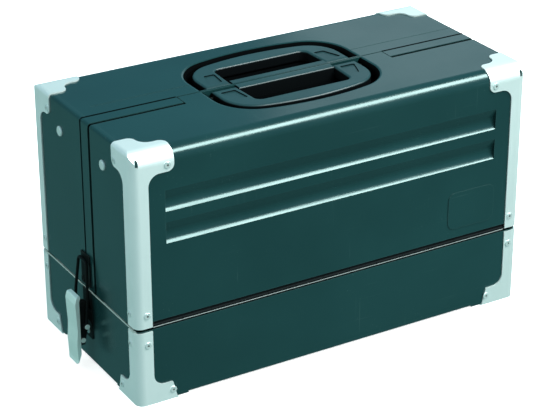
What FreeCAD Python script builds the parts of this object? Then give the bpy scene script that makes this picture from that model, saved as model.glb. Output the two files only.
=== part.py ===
"""Two-way cantilever tool box.

A sheet steel base carries two covers on piano hinges along its long edges. The covers
open outwards like wings, and parallel arms draw two level trays out on each side.
X runs along the box, Y from front to rear, Z up. The origin is the middle of the
footprint, on the surface that the box stands on. All sizes are in millimetres.
"""

import FreeCAD, Part
import math
import os

Vec = FreeCAD.Vector

# Driving sizes of the closed box, over the painted sheet
BODY_LENGTH = 440.0
BODY_DEPTH = 210.0
BODY_TOP = 260.0
BASE_TOP = 80.0
SEAM_GAP = 2.0
SHEET = 1.0
TOP_BEND = 13.0
CORNER_BEND = 7.0
END_BEND = 3.0

# Clearances
PIN_PLAY = 0.15
RUNNING_GAP = 0.3
LINE_GAP = 1.0

# Where the covers part
BAND_WIDTH = 15.5
BAND_GAP = 4.5
BAND_LAP = 12.0
TONGUE_HALF = 117.2
END_SEAM = 6.0
END_LAP = 10.0

# Feet pressed into the base's bottom
FOOT_DROP = 1.6
FOOT_LENGTH = 53.0
FOOT_WIDTH = 47.0

# Corner protectors
GUARD = 1.2
GUARD_STRIP = 16.0
GUARD_ARM = 43.0
GUARD_SIDE_ARM = 38.0
GUARD_ARM_DROP = 21.5
GUARD_BASE_ARM = 41.5
GUARD_BASE_ARM_RISE = 19.0
GUARD_TOP_WIDTH = 20.0
GUARD_FILLET = 12.0
GUARD_ROUND = 7.0
GUARD_TIP_ROUND = 1.5
GUARD_BASE_SLANT = 5.5
GUARD_SEAM = 1.2
GUARD_RELIEF_IN = 5.0
GUARD_RELIEF_DROP = 8.0
GUARD_RELIEF_HALF_WIDTH = 1.5
GUARD_RELIEF_HALF_HEIGHT = 3.5

# Rivets of the protectors: distance in from the end or side, and from the nearest rim
RIVET_HEAD = 3.5
RIVET_SHANK = 1.6
RIVET_RISE = 0.9
RIVET_CROWN = 0.55
RIVET_DIMPLE = 1.15
RIVET_TAIL = 2.6
RIVET_HOLLOW = 2.2
FRONT_ARM_RIVET = 36.0
SIDE_ARM_RIVET = 33.0
FRONT_STRIP_RIVET = 10.7
SIDE_STRIP_RIVET = 12.0
ARM_RIVET_DROP = 15.0
BASE_ARM_RIVET_RISE = 10.2
COVER_STRIP_RIVET_RISE = 14.3
BASE_STRIP_RIVET_DROP = 15.0

# Pressed grooves in the covers' long walls
GROOVE_END = 33.5
GROOVE_HEIGHT = 21.5
GROOVE_PITCH = 32.4
GROOVE_DEPTH = 6.0
GROOVE_TOP_DROP = 40.5
GROOVE_VALLEY = 5.8
GROOVE_ROUND = 10.5

# Blank plate-like panel pressed into the front wall
PANEL_END = 60.0
PANEL_UP = 36.5
PANEL_LENGTH = 56.0
PANEL_HEIGHT = 40.0
PANEL_RISE = 0.8
PANEL_ROUND = 8.0

# Crease along the rear cover's top
CREASE_Y = 20.0
CREASE_WIDTH = 0.9
CREASE_DEPTH = 0.45
CREASE_END = 15.0

# Piano hinges
HINGE_INSET = 1.6
HINGE_RISE = 3.5
HINGE_END = 17.0
LEAF_SHOW = 2.5
KNUCKLE_RADIUS = 2.2
HINGE_PIN_RADIUS = 1.1
KNUCKLE_COUNT = 13
KNUCKLE_GAP = 0.3
LEAF_WIDTH = 9.5

# Tray linkage, in the plane of the box's ends: depth from the middle and height
TRAY_PIVOT_Y = 46.0
TRAY_PIVOT_DROP = 30.0
ARM_SHIFT_Y = 38.0
ARM_SHIFT_Z = 6.0
SHORT_SHIFT_Y = 24.0
SHORT_SHIFT_Z = 10.0
ARM_SHARE = 0.5
ARM_WIDTH = 12.0
ARM_THICK = 2.0
ARM_GAP = 0.6
ARM_PIN_RADIUS = 3.0
ARM_HEAD_RADIUS = 5.0
ARM_HEAD_THICK = 1.2
COVER_RIVET_HEAD = 5.2
COVER_RIVET_RISE = 1.8
COVER_RIVET_CROWN = 1.4

# Trays
TRAY_ARM_GAP = 2.0
TRAY_INNER_Y = 3.0
TRAY_HEM = 3.0
TRAY_HEM_THICK = 2.0
UPPER_TRAY_REACH = 13.0
UPPER_TRAY_RIM_RISE = 3.0
MID_TRAY_WALL_GAP = 27.0
MID_TRAY_RIM_RISE = 5.25
MID_TRAY_DEPTH = 34.0
TRAY_STACK_GAP = 3.25
DIVIDER_X = 72.0
DIVIDER_THICK = 1.0
EAR_MARGIN = 3.0
EAR_ROUND = 3.0
HIP_MARGIN = 1.0

# Brackets that carry the arms inside the base's ends
BRACKET_THICK = 2.0
BRACKET_GAP = 0.4
BRACKET_DROP = 32.0
BRACKET_MARGIN = 9.0
BRACKET_ROUND = 6.0

# Carrying handles in their recess
RECESS_DEPTH = 14.0
RECESS_GAP = 6.5
RECESS_BRIM = 5.0
BAIL_HALF_LENGTH = 82.0
BAIL_REACH = 65.0
BAIL_CORNER = 35.0
BAIL_BOW_RADIUS = 250.0
BAIL_THICK = 12.0
BAIL_TOP_DROP = 0.5
BAIL_EDGE = 2.6
GRIP_WIDTH = 20.5
BAIL_ARM_WIDTH = 27.0
BAIL_ARM_SPREAD = 2.0
FINGER_ROUND = 7.0
BAIL_PIN_RADIUS = 2.0
BAIL_PANEL_DEPTH = 1.2
BAIL_PANEL_MARGIN = 5.0
BAIL_PANEL_START = 12.0
BAIL_PANEL_LENGTH = 22.0
BAIL_PANEL_TAPER = 8.0
BAIL_PANEL_ROUND = 2.0
BAR_MARGIN = 1.0
BAR_WIDTH = 9.0
BAR_EDGE = 2.2
BAR_SOCKET = 8.0
PIN_HEAD_RADIUS = 3.6
PIN_HEAD_THICK = 1.5
PIN_HEAD_GAP = 1.0

# Latches: distances out from the box's end, and heights from the lever's pivot or a rim
LEVER_PIVOT_OUT = 11.5
LEVER_PIVOT_DROP = 8.0
LOOP_PIVOT_OUT = 9.0
LOOP_PIVOT_DROP = 25.0
LOOP_TOP_OUT = 4.0
LOOP_TOP_RISE = 32.0
LOOP_KNEE_RISE = 32.0
LOOP_WIRE = 1.5
LOOP_HALF_WIDTH = 12.8
LOOP_TOP_HALF_WIDTH = 8.5
LOOP_BEND = 4.5
LOOP_KNEE_BEND = 10.0
EYE_RADIUS = 3.2
LOOP_PIN_RADIUS = 1.5
LEVER_PIN_RADIUS = 1.8
CROSS_RIVET_OUT = 12.0
CROSS_RIVET_DROP = 41.0
LATCH_HEAD_RADIUS = 2.6
LATCH_HEAD_THICK = 0.8
LEVER_HALF_WIDTH = 11.0
LEVER_THICK = 1.2
LEVER_LIP = 0.8
LEVER_TOP_ROUND = 2.5
LEVER_TIP_ROUND = 4.0
CHANNEL_HALF_WIDTH = 10.1
CHANNEL_WEB_OUT = 15.8
CHANNEL_ROUND = 3.0
LATCH_SHEET = 1.2
WING_HALF_WIDTH = 8.6
WING_LOW_DROP = 30.0
WING_HIGH_DROP = 17.0
WING_MARGIN = 0.6
LATCH_PLATE_DROP = 44.0
LATCH_PLATE_GAP = 0.5
LATCH_RIVET_LOW_DROP = 37.0
LATCH_RIVET_HIGH_DROP = 18.0
KEEPER_HALF_WIDTH = 9.0
KEEPER_BOTTOM_RISE = 3.0
KEEPER_OVER_LOOP = 5.0
KEEPER_THICK = 1.5
KEEPER_NOSE_HEIGHT = 9.0
KEEPER_RIVET_Y = 5.0
KEEPER_RIVET_RISE = 7.5

# Profile of the lever's plate, its side lips and the channel's cheeks: distance out from the
# lever's pivot and height above it
LEVER_PLATE = [(2.0, 7.5), (6.0, 6.5), (7.7, 0), (6.3, -28), (7.5, -45), (6.7, -63), (7.7, -66.5)]
LEVER_LIPS = [(6.5, -66.5), (5.5, -62), (3.3, -56), (3.3, 2), (2.0, 6.3)]
LEVER_HOLLOW_OUT = 0.5
CHEEK_BACK = [(-2.5, 4), (-5.5, -2), (-5.5, -29), (-3.5, -36), (-1.5, -46)]

# Places worked out from the sizes above
HALF_X = BODY_LENGTH / 2
HALF_Y = BODY_DEPTH / 2
COVER_BOTTOM = BASE_TOP + SEAM_GAP
SEAM_X = HALF_X - END_SEAM
HINGE_HALF = HALF_X - HINGE_END
KNUCKLE_LENGTH = 2 * HINGE_HALF / KNUCKLE_COUNT
COVER_STRIP_RIVET_Z = COVER_BOTTOM + COVER_STRIP_RIVET_RISE
BASE_STRIP_RIVET_Z = BASE_TOP - BASE_STRIP_RIVET_DROP
GROOVE_HALF_LENGTH = HALF_X - GROOVE_END
GROOVE_LOW = BODY_TOP - GROOVE_TOP_DROP - GROOVE_PITCH - GROOVE_HEIGHT
TRAY_PIVOT_Z = BODY_TOP - TRAY_PIVOT_DROP
ARM_OUTER_X = HALF_X - SHEET - BRACKET_GAP - BRACKET_THICK - ARM_GAP
ARM_INNER_X = ARM_OUTER_X - ARM_THICK
TRAY_HALF_LENGTH = ARM_INNER_X - TRAY_ARM_GAP
MID_TRAY_OUTER_Y = HALF_Y - MID_TRAY_WALL_GAP
BRACKET_BOTTOM = BASE_TOP - BRACKET_DROP
FINGER_HALF_INNER = BAIL_HALF_LENGTH - BAIL_ARM_WIDTH
FINGER_HALF_OUTER = FINGER_HALF_INNER - BAIL_ARM_SPREAD
BAR_HALF_LENGTH = FINGER_HALF_INNER - BAR_MARGIN
BAIL_END_Y = LINE_GAP + SHEET + RUNNING_GAP
LEVER_PIVOT_Z = BASE_TOP - LEVER_PIVOT_DROP
LOOP_PIVOT_Z = LEVER_PIVOT_Z - LOOP_PIVOT_DROP
CROSS_RIVET_Z = LEVER_PIVOT_Z - CROSS_RIVET_DROP
LOOP_TOP_Z = COVER_BOTTOM + LOOP_TOP_RISE
BODY_BOTTOM = GUARD + FOOT_DROP
FRONT_EDGE = BAND_WIDTH + BAND_GAP
FAR = 2 * BODY_LENGTH

os.makedirs("parts", exist_ok=True)


def box(low, high):
    """A block between two opposite corners."""
    size = [high[i] - low[i] for i in range(3)]
    return Part.makeBox(size[0], size[1], size[2], Vec(*low))


def rod(axis, centre, radius, start, end):
    """A round bar along X, Y or Z; centre holds the two other coordinates in X, Y, Z order."""
    return Part.makeCylinder(radius, end - start, spot(axis, centre, start), spot(axis, (0, 0), 1))


def spot(axis, pair, depth):
    """The point at a depth along an axis, with a pair of coordinates across it."""
    first, second = pair
    if axis == "x":
        return Vec(depth, first, second)
    if axis == "y":
        return Vec(first, depth, second)
    return Vec(first, second, depth)


def bend(before, point, after, radius):
    """The start, middle and end of the arc that rounds one corner of a path."""
    back = (before - point).normalize()
    ahead = (after - point).normalize()
    half = back.getAngle(ahead) / 2
    reach = radius / math.tan(half)
    centre = point + (back + ahead).normalize() * (radius / math.sin(half))
    middle = centre + (point - centre).normalize() * radius
    return [point + back * reach, middle, point + ahead * reach]


def outline(axis, points, rounds=None):
    """A closed wire across an axis; rounds maps the number of a point to its corner's radius."""
    rounds = rounds or {}
    places = [spot(axis, p, 0) for p in points]
    stops = []
    for i, place in enumerate(places):
        if rounds.get(i, 0) > 0:
            stops.append(bend(places[i - 1], place, places[(i + 1) % len(places)], rounds[i]))
        else:
            stops.append([place])
    return path(stops + [stops[0][:1]])


def path(stops):
    """A wire through single points and through start, middle and end of its bends."""
    edges = []
    for here, there in zip(stops, stops[1:]):
        if len(here) == 3:
            edges.append(Part.Arc(here[0], here[1], here[2]).toShape())
        if (there[0] - here[-1]).Length > 0.001:
            edges.append(Part.makeLine(here[-1], there[0]))
    return Part.Wire(edges)


def prism(axis, points, start, end, rounds=None):
    """An outline carried along an axis from start to end."""
    face = Part.Face(outline(axis, points, rounds))
    face.translate(spot(axis, (0, 0), start))
    return face.extrude(spot(axis, (0, 0), end - start))


def fused(shapes):
    """One solid from shapes that touch."""
    return shapes[0].multiFuse(shapes[1:]).removeSplitter()


def across(shape):
    """The same shape at the box's other end."""
    return shape.mirror(Vec(0, 0, 0), Vec(1, 0, 0))


def behind(shape):
    """The same shape on the box's other long side."""
    return shape.mirror(Vec(0, 0, 0), Vec(0, 1, 0))


def both_ends(shapes):
    """Shapes of the left end together with their images at the right end."""
    return list(shapes) + [across(s) for s in shapes]


def save(name, shapes):
    """Write one node; several loose solids of one kind share it."""
    solids = []
    for shape in shapes:
        solids.extend(shape.Solids)
    item = solids[0] if len(solids) == 1 else Part.makeCompound(solids)
    item.exportStep("parts/" + name + ".step")
    print(name, len(solids), item.isValid(), round(item.Volume, 1))


def footprint(x, y, side, bottom, top):
    """An upright block with rounded corners, given by its half length and half depth."""
    corners = [(-x, -y), (x, -y), (x, y), (-x, y)]
    return prism("z", corners, bottom, top, {i: side for i in range(4)})


def body_block(inset, bottom):
    """The closed box's rounded form, drawn in by an inset on every side but the bottom."""
    x = HALF_X - inset
    y = HALF_Y - inset
    top = BODY_TOP - inset
    bend = TOP_BEND - inset
    side = CORNER_BEND - inset
    end = END_BEND - inset
    across_box = prism("x", [(-y, bottom), (y, bottom), (y, top), (-y, top)], -x, x, {2: bend, 3: bend})
    along_box = prism("y", [(-x, bottom), (x, bottom), (x, top), (-x, top)], -y, y, {2: end, 3: end})
    upright = footprint(x, y, side, bottom, top)
    return across_box.common(along_box).common(upright)


def skin(inset, thickness, bottom):
    """A sheet that follows the box's rounded form: the walls and the top, open below."""
    return body_block(inset, bottom).cut(body_block(inset + thickness, bottom - SHEET))


def base_block(inset, bottom):
    """The base's form up to its rim, drawn in by an inset on its four walls."""
    return footprint(HALF_X - inset, HALF_Y - inset, CORNER_BEND - inset, bottom, BASE_TOP)


def foot_blocks(inset, bottom):
    """The four pads pressed out under the base's corners."""
    pads = base_block(inset, bottom)
    pads = pads.common(box((-FAR, -FAR, bottom), (FAR, FAR, BODY_BOTTOM + 2 * SHEET)))
    middle_x = HALF_X - FOOT_LENGTH + inset
    middle_y = HALF_Y - FOOT_WIDTH + inset
    pads = pads.cut(box((-middle_x, -FAR, 0), (middle_x, FAR, BASE_TOP)))
    return pads.cut(box((-FAR, -middle_y, 0), (FAR, middle_y, BASE_TOP)))


def rivet(axis, pair, face, outward, grip):
    """A tubular rivet through a stack of sheets; outward is +1 or -1 along its axis."""
    head = rod(axis, pair, RIVET_HEAD, 0, RIVET_RISE)
    head = head.makeFillet(RIVET_CROWN, [e for e in head.Edges if is_far_ring(e, axis, RIVET_RISE)])
    hollow = rod(axis, pair, RIVET_DIMPLE, -RIVET_HOLLOW, RIVET_RISE * 2)
    shank = rod(axis, pair, RIVET_SHANK, -grip, RIVET_RISE / 4)
    tail = rod(axis, pair, RIVET_TAIL, -grip - RIVET_RISE, -grip)
    body = fused([head, shank, tail]).cut(hollow)
    if outward < 0:
        body = body.mirror(Vec(0, 0, 0), spot(axis, (0, 0), 1))
    body.translate(spot(axis, (0, 0), face))
    return body


def is_far_ring(edge, axis, depth):
    """True for a circle that lies at a given depth along an axis."""
    middle = edge.CenterOfMass
    at = {"x": middle.x, "y": middle.y, "z": middle.z}[axis]
    return isinstance(edge.Curve, Part.Circle) and abs(at - depth) < 0.001


# Corner protectors: stamped caps of bright steel, worked out at the front left corner

def guard_outline(half, arm, slant, inner_z, far_z, seam_z):
    """An L on one wall: an upright strip along the corner and one arm, its end cut at a slant."""
    edge = -half - 2 * GUARD
    arm_end = -half + arm
    strip_end = -half + GUARD_STRIP
    arm_side = [(edge, far_z), (arm_end, far_z), (arm_end - slant, inner_z)]
    strip_side = [(strip_end, inner_z), (strip_end, seam_z), (edge, seam_z)]
    return arm_side + strip_side


def guard_flange(shell, arm, side_arm, low, high):
    """The part of a protector that lies on the top or the bottom, with an S curve between its arms."""
    edge_x = -HALF_X - 2 * GUARD
    edge_y = -HALF_Y - 2 * GUARD
    end_x = -HALF_X + arm
    end_y = -HALF_Y + side_arm
    width_x = -HALF_X + GUARD_TOP_WIDTH
    width_y = -HALF_Y + GUARD_TOP_WIDTH
    long_arm = [(edge_x, edge_y), (end_x, edge_y), (end_x, width_y)]
    short_arm = [(width_x, width_y), (width_x, end_y), (edge_x, end_y)]
    rounds = {2: GUARD_ROUND, 3: GUARD_FILLET, 4: GUARD_ROUND}
    return shell.common(prism("z", long_arm + short_arm, low, high, rounds))


def cover_guard():
    """A cover's protector: two walls and the top, with a strip down to the seam."""
    shell = skin(-GUARD, GUARD, COVER_BOTTOM + GUARD_SEAM)
    inner_z = BODY_TOP - GUARD_ARM_DROP
    far_z = BODY_TOP + 3 * GUARD
    front = guard_outline(HALF_X, GUARD_ARM, 0, inner_z, far_z, COVER_BOTTOM)
    side = guard_outline(HALF_Y, GUARD_SIDE_ARM, 0, inner_z, far_z, COVER_BOTTOM)
    rounds = {2: GUARD_ROUND, 3: GUARD_FILLET}
    pieces = [
        shell.common(prism("y", front, -HALF_Y - 2 * GUARD, -HALF_Y + TOP_BEND, rounds)),
        shell.common(prism("x", side, -HALF_X - 2 * GUARD, -HALF_X + CORNER_BEND, rounds)),
        guard_flange(shell, GUARD_ARM, GUARD_SIDE_ARM, BODY_TOP - TOP_BEND, BODY_TOP + 2 * GUARD),
    ]
    return relieved(fused(pieces))


def base_guard():
    """A base corner's protector: two walls and the bottom, which the box stands on."""
    shell = base_block(-GUARD, 0).cut(base_block(0, GUARD))
    shell = shell.cut(box((-FAR, -FAR, BASE_TOP - GUARD_SEAM), (FAR, FAR, FAR)))
    inner_z = GUARD_BASE_ARM_RISE
    far_z = -3 * GUARD
    front = guard_outline(HALF_X, GUARD_BASE_ARM, GUARD_BASE_SLANT, inner_z, far_z, BASE_TOP)
    side = guard_outline(HALF_Y, GUARD_BASE_ARM, GUARD_BASE_SLANT, inner_z, far_z, BASE_TOP)
    rounds = {2: GUARD_TIP_ROUND, 3: GUARD_FILLET}
    pieces = [
        shell.common(prism("y", front, -HALF_Y - 2 * GUARD, -HALF_Y + CORNER_BEND, rounds)),
        shell.common(prism("x", side, -HALF_X - 2 * GUARD, -HALF_X + CORNER_BEND, rounds)),
        guard_flange(shell, GUARD_BASE_ARM, GUARD_BASE_ARM, 0, GUARD),
    ]
    return fused(pieces)


def relieved(guard):
    """The protector with the small upright slot that eases its corner where three bends meet."""
    x = GUARD_RELIEF_HALF_WIDTH
    z = GUARD_RELIEF_HALF_HEIGHT
    corners = [(-x, -z), (x, -z), (x, z), (-x, z)]
    slot = prism("y", corners, -HALF_Y - 2 * GUARD, -HALF_Y + CORNER_BEND, {i: x * 0.9 for i in range(4)})
    slot.translate(Vec(-HALF_X + GUARD_RELIEF_IN, 0, BODY_TOP - GUARD_RELIEF_DROP))
    return guard.cut(slot)


def guard_rivets(spots):
    """Rivets and their holes; spots lists wall, place along it, height and grip."""
    rivets = []
    holes = []
    for wall, along, height, grip in spots:
        axis = "y" if wall == "front" else "x"
        face = -(HALF_Y if wall == "front" else HALF_X) - GUARD
        rivets.append(rivet(axis, (along, height), face, -1, grip))
        holes.append(rod(axis, (along, height), RIVET_SHANK + PIN_PLAY / 3, face - GUARD, face + 4 * GUARD))
    return rivets, Part.makeCompound(holes)


HINGE_Y = -HALF_Y + HINGE_INSET
HINGE_Z = BASE_TOP + HINGE_RISE

cover_spots = [
    ("front", -HALF_X + FRONT_ARM_RIVET, BODY_TOP - ARM_RIVET_DROP, GUARD + SHEET),
    ("front", -HALF_X + FRONT_STRIP_RIVET, COVER_STRIP_RIVET_Z, GUARD + SHEET),
    ("side", -HALF_Y + SIDE_ARM_RIVET, BODY_TOP - ARM_RIVET_DROP, GUARD + SHEET),
    ("side", -HALF_Y + SIDE_STRIP_RIVET, COVER_STRIP_RIVET_Z, GUARD + SHEET),
]
base_spots = [
    ("front", -HALF_X + FRONT_ARM_RIVET, BASE_ARM_RIVET_RISE, GUARD + SHEET),
    ("front", -HALF_X + FRONT_STRIP_RIVET, BASE_STRIP_RIVET_Z, GUARD + 2 * SHEET),
    ("side", -HALF_Y + SIDE_ARM_RIVET, BASE_ARM_RIVET_RISE, GUARD + SHEET),
    ("side", -HALF_Y + SIDE_STRIP_RIVET, BASE_STRIP_RIVET_Z, GUARD + SHEET),
]
cover_rivets, cover_holes = guard_rivets(cover_spots)
base_rivets, base_holes = guard_rivets(base_spots)
cover_guard_left = cover_guard().cut(cover_holes)
base_guard_left = base_guard().cut(base_holes)

save("front_cover_corner_protectors", both_ends([cover_guard_left]))
save("rear_cover_corner_protectors", both_ends([behind(cover_guard_left)]))
save("base_corner_protectors", both_ends([base_guard_left, behind(base_guard_left)]))
save("front_cover_protector_rivets", both_ends(cover_rivets))
save("rear_cover_protector_rivets", both_ends([behind(r) for r in cover_rivets]))
save("base_protector_rivets", both_ends(base_rivets + [behind(r) for r in base_rivets]))


# Latches on the two ends; out is the distance from the end wall

def out(distance):
    """The X of a point that stands a distance off the left end wall."""
    return -HALF_X - distance


def side_prism(points, half_width, rounds=None):
    """A profile given as distance out and height, carried evenly to both sides."""
    return prism("y", [(out(p), z) for p, z in points], -half_width, half_width, rounds)


def side_block(near, far, low, high, half_width):
    """A square block between two distances out and two heights."""
    return side_prism([(near, low), (far, low), (far, high), (near, high)], half_width)


def side_rod(place, radius, half_length):
    """A round bar across the latch."""
    return rod("y", (out(place[0]), place[1]), radius, -half_length, half_length)


lever_pivot = (LEVER_PIVOT_OUT, LEVER_PIVOT_Z)
loop_pivot = (LOOP_PIVOT_OUT, LOOP_PIVOT_Z)
cross_rivet = (CROSS_RIVET_OUT, CROSS_RIVET_Z)
latch_rivet_drops = [LATCH_RIVET_LOW_DROP, LATCH_RIVET_HIGH_DROP]
latch_rivet_places = [(0.0, LEVER_PIVOT_Z - drop) for drop in latch_rivet_drops]
keeper_rivet_places = [(y, COVER_BOTTOM + KEEPER_RIVET_RISE) for y in (-KEEPER_RIVET_Y, KEEPER_RIVET_Y)]


def latch_holes(places, reach):
    """Rivet holes through the end wall and what is fixed on it."""
    radius = RIVET_SHANK + PIN_PLAY / 3
    return Part.makeCompound([rod("x", place, radius, out(reach), out(-reach)) for place in places])


def from_pivot(points):
    """A profile given from the lever's pivot, as distance out from the end wall and height."""
    return [(LEVER_PIVOT_OUT + p, LEVER_PIVOT_Z + z) for p, z in points]


def lever():
    """The bright draw lever: a bent plate with shallow side lips and a curled top."""
    plate = from_pivot(LEVER_PLATE)
    hollow = [(p - LEVER_THICK, z) for p, z in plate[1:6]]
    hollow[0] = (hollow[0][0], plate[1][1] - LEVER_THICK)
    back = LEVER_PIVOT_OUT + LEVER_HOLLOW_OUT
    hollow = [(back, hollow[0][1])] + hollow + [(back, LEVER_PIVOT_Z + LEVER_LIPS[2][1])]
    whole = side_prism(plate + from_pivot(LEVER_LIPS), LEVER_HALF_WIDTH, {1: 2.0, 2: 3.0})
    whole = whole.cut(side_prism(hollow, LEVER_HALF_WIDTH - LEVER_LIP))
    low = plate[-1][1]
    high = plate[0][1]
    side = LEVER_HALF_WIDTH
    face = [(-side, low), (side, low), (side, high), (-side, high)]
    rounds = {0: LEVER_TIP_ROUND, 1: LEVER_TIP_ROUND, 2: LEVER_TOP_ROUND, 3: LEVER_TOP_ROUND}
    return whole.common(prism("x", face, -FAR, 0, rounds))


def lever_channel():
    """The dark channel behind the lever that carries its pins: two cheeks and a short web."""
    web_in = CHANNEL_WEB_OUT - LATCH_SHEET
    web_top = LEVER_PIVOT_Z - LEVER_PIVOT_OUT
    back = from_pivot(CHEEK_BACK)
    cheek = [(CHANNEL_WEB_OUT, back[-1][1]), (CHANNEL_WEB_OUT, back[0][1])] + back
    rounds = {1: CHANNEL_ROUND, 2: CHANNEL_ROUND, 4: CHANNEL_ROUND}
    whole = side_prism(cheek, CHANNEL_HALF_WIDTH, rounds)
    inside = CHANNEL_HALF_WIDTH - LATCH_SHEET
    whole = whole.cut(side_block(0, web_in, 0, web_top, inside))
    whole = whole.cut(side_block(0, FAR, web_top, FAR, inside))
    whole = whole.cut(side_rod(lever_pivot, LEVER_PIN_RADIUS + PIN_PLAY, HALF_Y))
    whole = whole.cut(side_rod(loop_pivot, LOOP_PIN_RADIUS, HALF_Y))
    return whole.cut(side_rod(cross_rivet, LEVER_PIN_RADIUS, HALF_Y))


def headed_pin(place, radius, head_from, head_to):
    """A pin across the latch with a flat head at each side."""
    pin = side_rod(place, radius, head_to)
    head = rod("y", (out(place[0]), place[1]), LATCH_HEAD_RADIUS, head_from, head_to)
    return fused([pin, head, behind(head)])


def latch_bracket():
    """The dark bracket on the base's end: a plate with two wings for the lever's pivot."""
    bottom = LEVER_PIVOT_Z - LATCH_PLATE_DROP
    top = BASE_TOP - LATCH_PLATE_GAP
    plate = side_block(0, LATCH_SHEET, bottom, top, WING_HALF_WIDTH)
    nose = LATCH_HEAD_RADIUS + WING_MARGIN
    flank = nose / math.sqrt(2)
    wing = [
        (0, LEVER_PIVOT_Z - WING_LOW_DROP),
        (LEVER_PIVOT_OUT + flank, LEVER_PIVOT_Z - flank),
        (LEVER_PIVOT_OUT - flank, LEVER_PIVOT_Z + flank),
        (0, LEVER_PIVOT_Z - WING_HIGH_DROP),
    ]
    wings = fused([side_prism(wing, WING_HALF_WIDTH), side_rod(lever_pivot, nose, WING_HALF_WIDTH)])
    wings = wings.cut(side_block(LATCH_SHEET, FAR, 0, FAR, WING_HALF_WIDTH - LATCH_SHEET))
    whole = fused([plate, wings])
    whole = whole.cut(side_rod(lever_pivot, LEVER_PIN_RADIUS, HALF_Y))
    return whole.cut(latch_holes(latch_rivet_places, LATCH_SHEET * 2))


def loop():
    """The wire loop: two legs with flat eyes on the lever's pin, drawn in to a bar at the top."""
    share = LOOP_KNEE_RISE / (LOOP_TOP_Z - LOOP_PIVOT_Z)
    knee_out = LOOP_PIVOT_OUT + share * (LOOP_TOP_OUT - LOOP_PIVOT_OUT)
    foot = Vec(out(LOOP_PIVOT_OUT), -LOOP_HALF_WIDTH, LOOP_PIVOT_Z)
    knee = Vec(out(knee_out), -LOOP_HALF_WIDTH, LOOP_PIVOT_Z + LOOP_KNEE_RISE)
    top = Vec(out(LOOP_TOP_OUT), -LOOP_TOP_HALF_WIDTH, LOOP_TOP_Z)
    far_top = Vec(top.x, -top.y, top.z)
    far_knee = Vec(knee.x, -knee.y, knee.z)
    far_foot = Vec(foot.x, -foot.y, foot.z)
    stops = [
        [foot],
        bend(foot, knee, top, LOOP_KNEE_BEND),
        bend(knee, top, far_top, LOOP_BEND),
        bend(top, far_top, far_knee, LOOP_BEND),
        bend(far_top, far_knee, far_foot, LOOP_KNEE_BEND),
        [far_foot],
    ]
    line = path(stops)
    start = Part.Wire(Part.makeCircle(LOOP_WIRE, foot, knee - foot))
    wire = line.makePipeShell([start], True, True)
    eye = rod("y", (foot.x, foot.z), EYE_RADIUS, -LOOP_HALF_WIDTH - LOOP_WIRE, -LOOP_HALF_WIDTH + LOOP_WIRE)
    whole = fused([wire, eye, behind(eye)])
    return whole.cut(side_rod(loop_pivot, LOOP_PIN_RADIUS + PIN_PLAY, HALF_Y))


def keeper():
    """The catch plate on the rear cover, with the nose that the loop lies on."""
    bottom = COVER_BOTTOM + KEEPER_BOTTOM_RISE
    plate = side_block(0, KEEPER_THICK, bottom, LOOP_TOP_Z + KEEPER_OVER_LOOP, KEEPER_HALF_WIDTH)
    nose_out = LOOP_TOP_OUT - LOOP_WIRE - RUNNING_GAP
    nose_top = LOOP_TOP_Z - LOOP_WIRE
    under = [(0, nose_top - KEEPER_NOSE_HEIGHT), (nose_out, nose_top - nose_out)]
    nose = side_prism(under + [(nose_out, nose_top), (0, nose_top)], KEEPER_HALF_WIDTH)
    return fused([plate, nose]).cut(latch_holes(keeper_rivet_places, KEEPER_THICK * 2))


bracket_grip = LATCH_SHEET + SHEET
keeper_grip = KEEPER_THICK + 2 * SHEET
latch_rivets = [rivet("x", place, out(LATCH_SHEET), -1, bracket_grip) for place in latch_rivet_places]
keeper_rivets = [rivet("x", place, out(KEEPER_THICK), -1, keeper_grip) for place in keeper_rivet_places]
loop_side = LOOP_HALF_WIDTH + LOOP_WIRE + PIN_PLAY
head_side = CHANNEL_HALF_WIDTH + LATCH_HEAD_THICK
lever_pins = [
    headed_pin(loop_pivot, LOOP_PIN_RADIUS, loop_side, loop_side + LATCH_HEAD_THICK),
    headed_pin(cross_rivet, LEVER_PIN_RADIUS, CHANNEL_HALF_WIDTH, head_side),
]
latch_parts = {
    "latch_lever": [lever()],
    "latch_lever_channel": [lever_channel()],
    "latch_lever_pins": lever_pins,
    "latch_loop": [loop()],
    "latch_bracket": [latch_bracket()],
}
for name, shapes in latch_parts.items():
    save("left_" + name, shapes)
    save("right_" + name, [across(s) for s in shapes])
pivot_pin = headed_pin(lever_pivot, LEVER_PIN_RADIUS, CHANNEL_HALF_WIDTH + PIN_PLAY, head_side)
save("latch_pivot_pins", both_ends([pivot_pin]))
save("latch_bracket_rivets", both_ends(latch_rivets))
save("latch_keepers", both_ends([keeper()]))
save("latch_keeper_rivets", both_ends(keeper_rivets))


# Base: a pan folded from one sheet, closed by an end plate at each side

def base_shell():
    """The whole base as one sheet form with its four pressed feet."""
    outer = base_block(0, BODY_BOTTOM).fuse(foot_blocks(0, GUARD))
    inner = base_block(SHEET, BODY_BOTTOM + SHEET).fuse(foot_blocks(SHEET, GUARD + SHEET))
    return outer.cut(inner)


def base_lap():
    """The end plate's flange, spot welded inside the pan's long walls."""
    low = BODY_BOTTOM + 3 * SHEET
    ring = base_block(SHEET, low).cut(base_block(2 * SHEET, low - SHEET))
    high = BASE_STRIP_RIVET_Z + RIVET_TAIL + RUNNING_GAP
    return ring.common(box((-HALF_X + 2 * SHEET, -FAR, low), (-SEAM_X + END_LAP, FAR, high)))


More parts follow.
